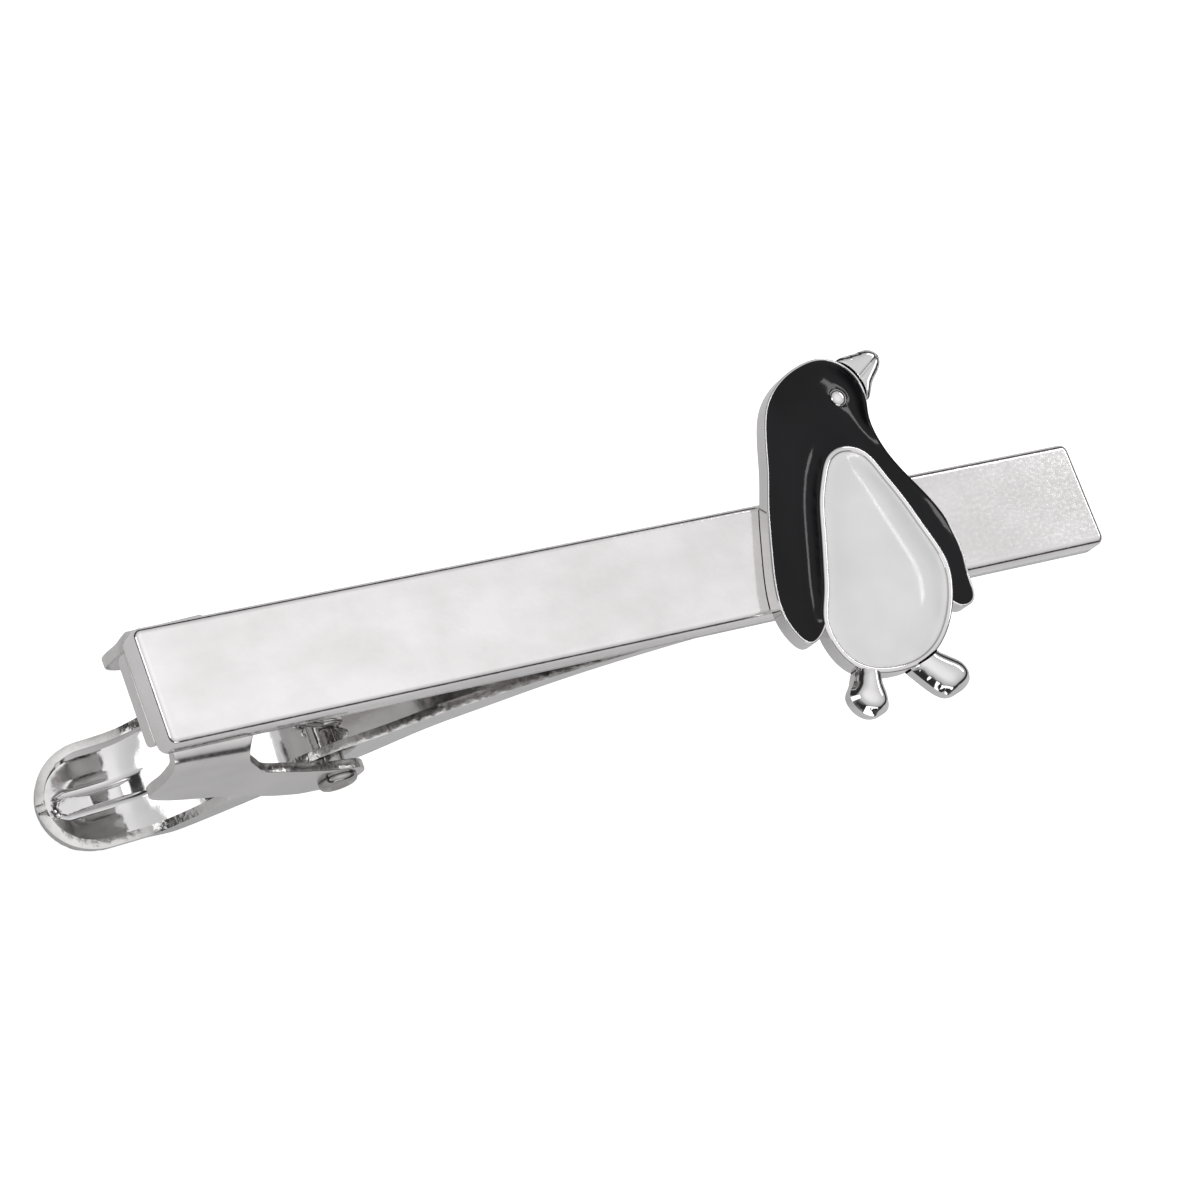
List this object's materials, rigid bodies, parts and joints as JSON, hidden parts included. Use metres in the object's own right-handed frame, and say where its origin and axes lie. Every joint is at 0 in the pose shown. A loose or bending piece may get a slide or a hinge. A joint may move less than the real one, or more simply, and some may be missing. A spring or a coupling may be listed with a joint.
{
  "type": "tie bar",
  "caption": "Flat polished tie bar with a sprung channel lever hinged behind it and an enamelled penguin figure on the front.",
  "frame": {"origin": "centre of the bar's flat back face", "axes": "+X along the bar away from the hinge, +Y across the bar towards the figure's head, +Z out of the front face"},
  "size_m": [0.06, 0.0202, 0.0214],
  "materials": {
    "polished_bar": "rhodium-look plating, fine satin face with bright rounded edges",
    "solder_back": "dull solder",
    "bracket_plate": "bright plated pressed sheet",
    "rivet_plate": "bright plated, tumbled",
    "lever_plate": "mirror plated pressed sheet",
    "spring_wire": "drawn spring wire",
    "solder_front": "dull solder",
    "figure_plate": "bright plated casting",
    "black_fill": "glossy cold enamel",
    "white_fill": "glossy cold enamel, domed"
  },
  "bodies": {
    "bar": {"front_bar": "polished_bar", "bracket_solder": "solder_back", "hinge_bracket": "bracket_plate", "pivot_rivet": "rivet_plate", "torsion_spring": "spring_wire", "figure_solder": "solder_front", "penguin_casting": "figure_plate", "black_enamel": "black_fill", "white_enamel": "white_fill"},
    "lever": {"clip_lever": "lever_plate"}
  },
  "joints": [
    {"name": "lever_pivot", "type": "hinge", "parent": "bar", "child": "lever", "pos_m": [-0.0168, 0, -0.0076], "axis": [0, 1, 0], "range_deg": [0, 18], "stiffness_Nm_per_rad": 0.02, "springref_deg": -34.38, "deforming": ["torsion_spring"]}
  ]
}
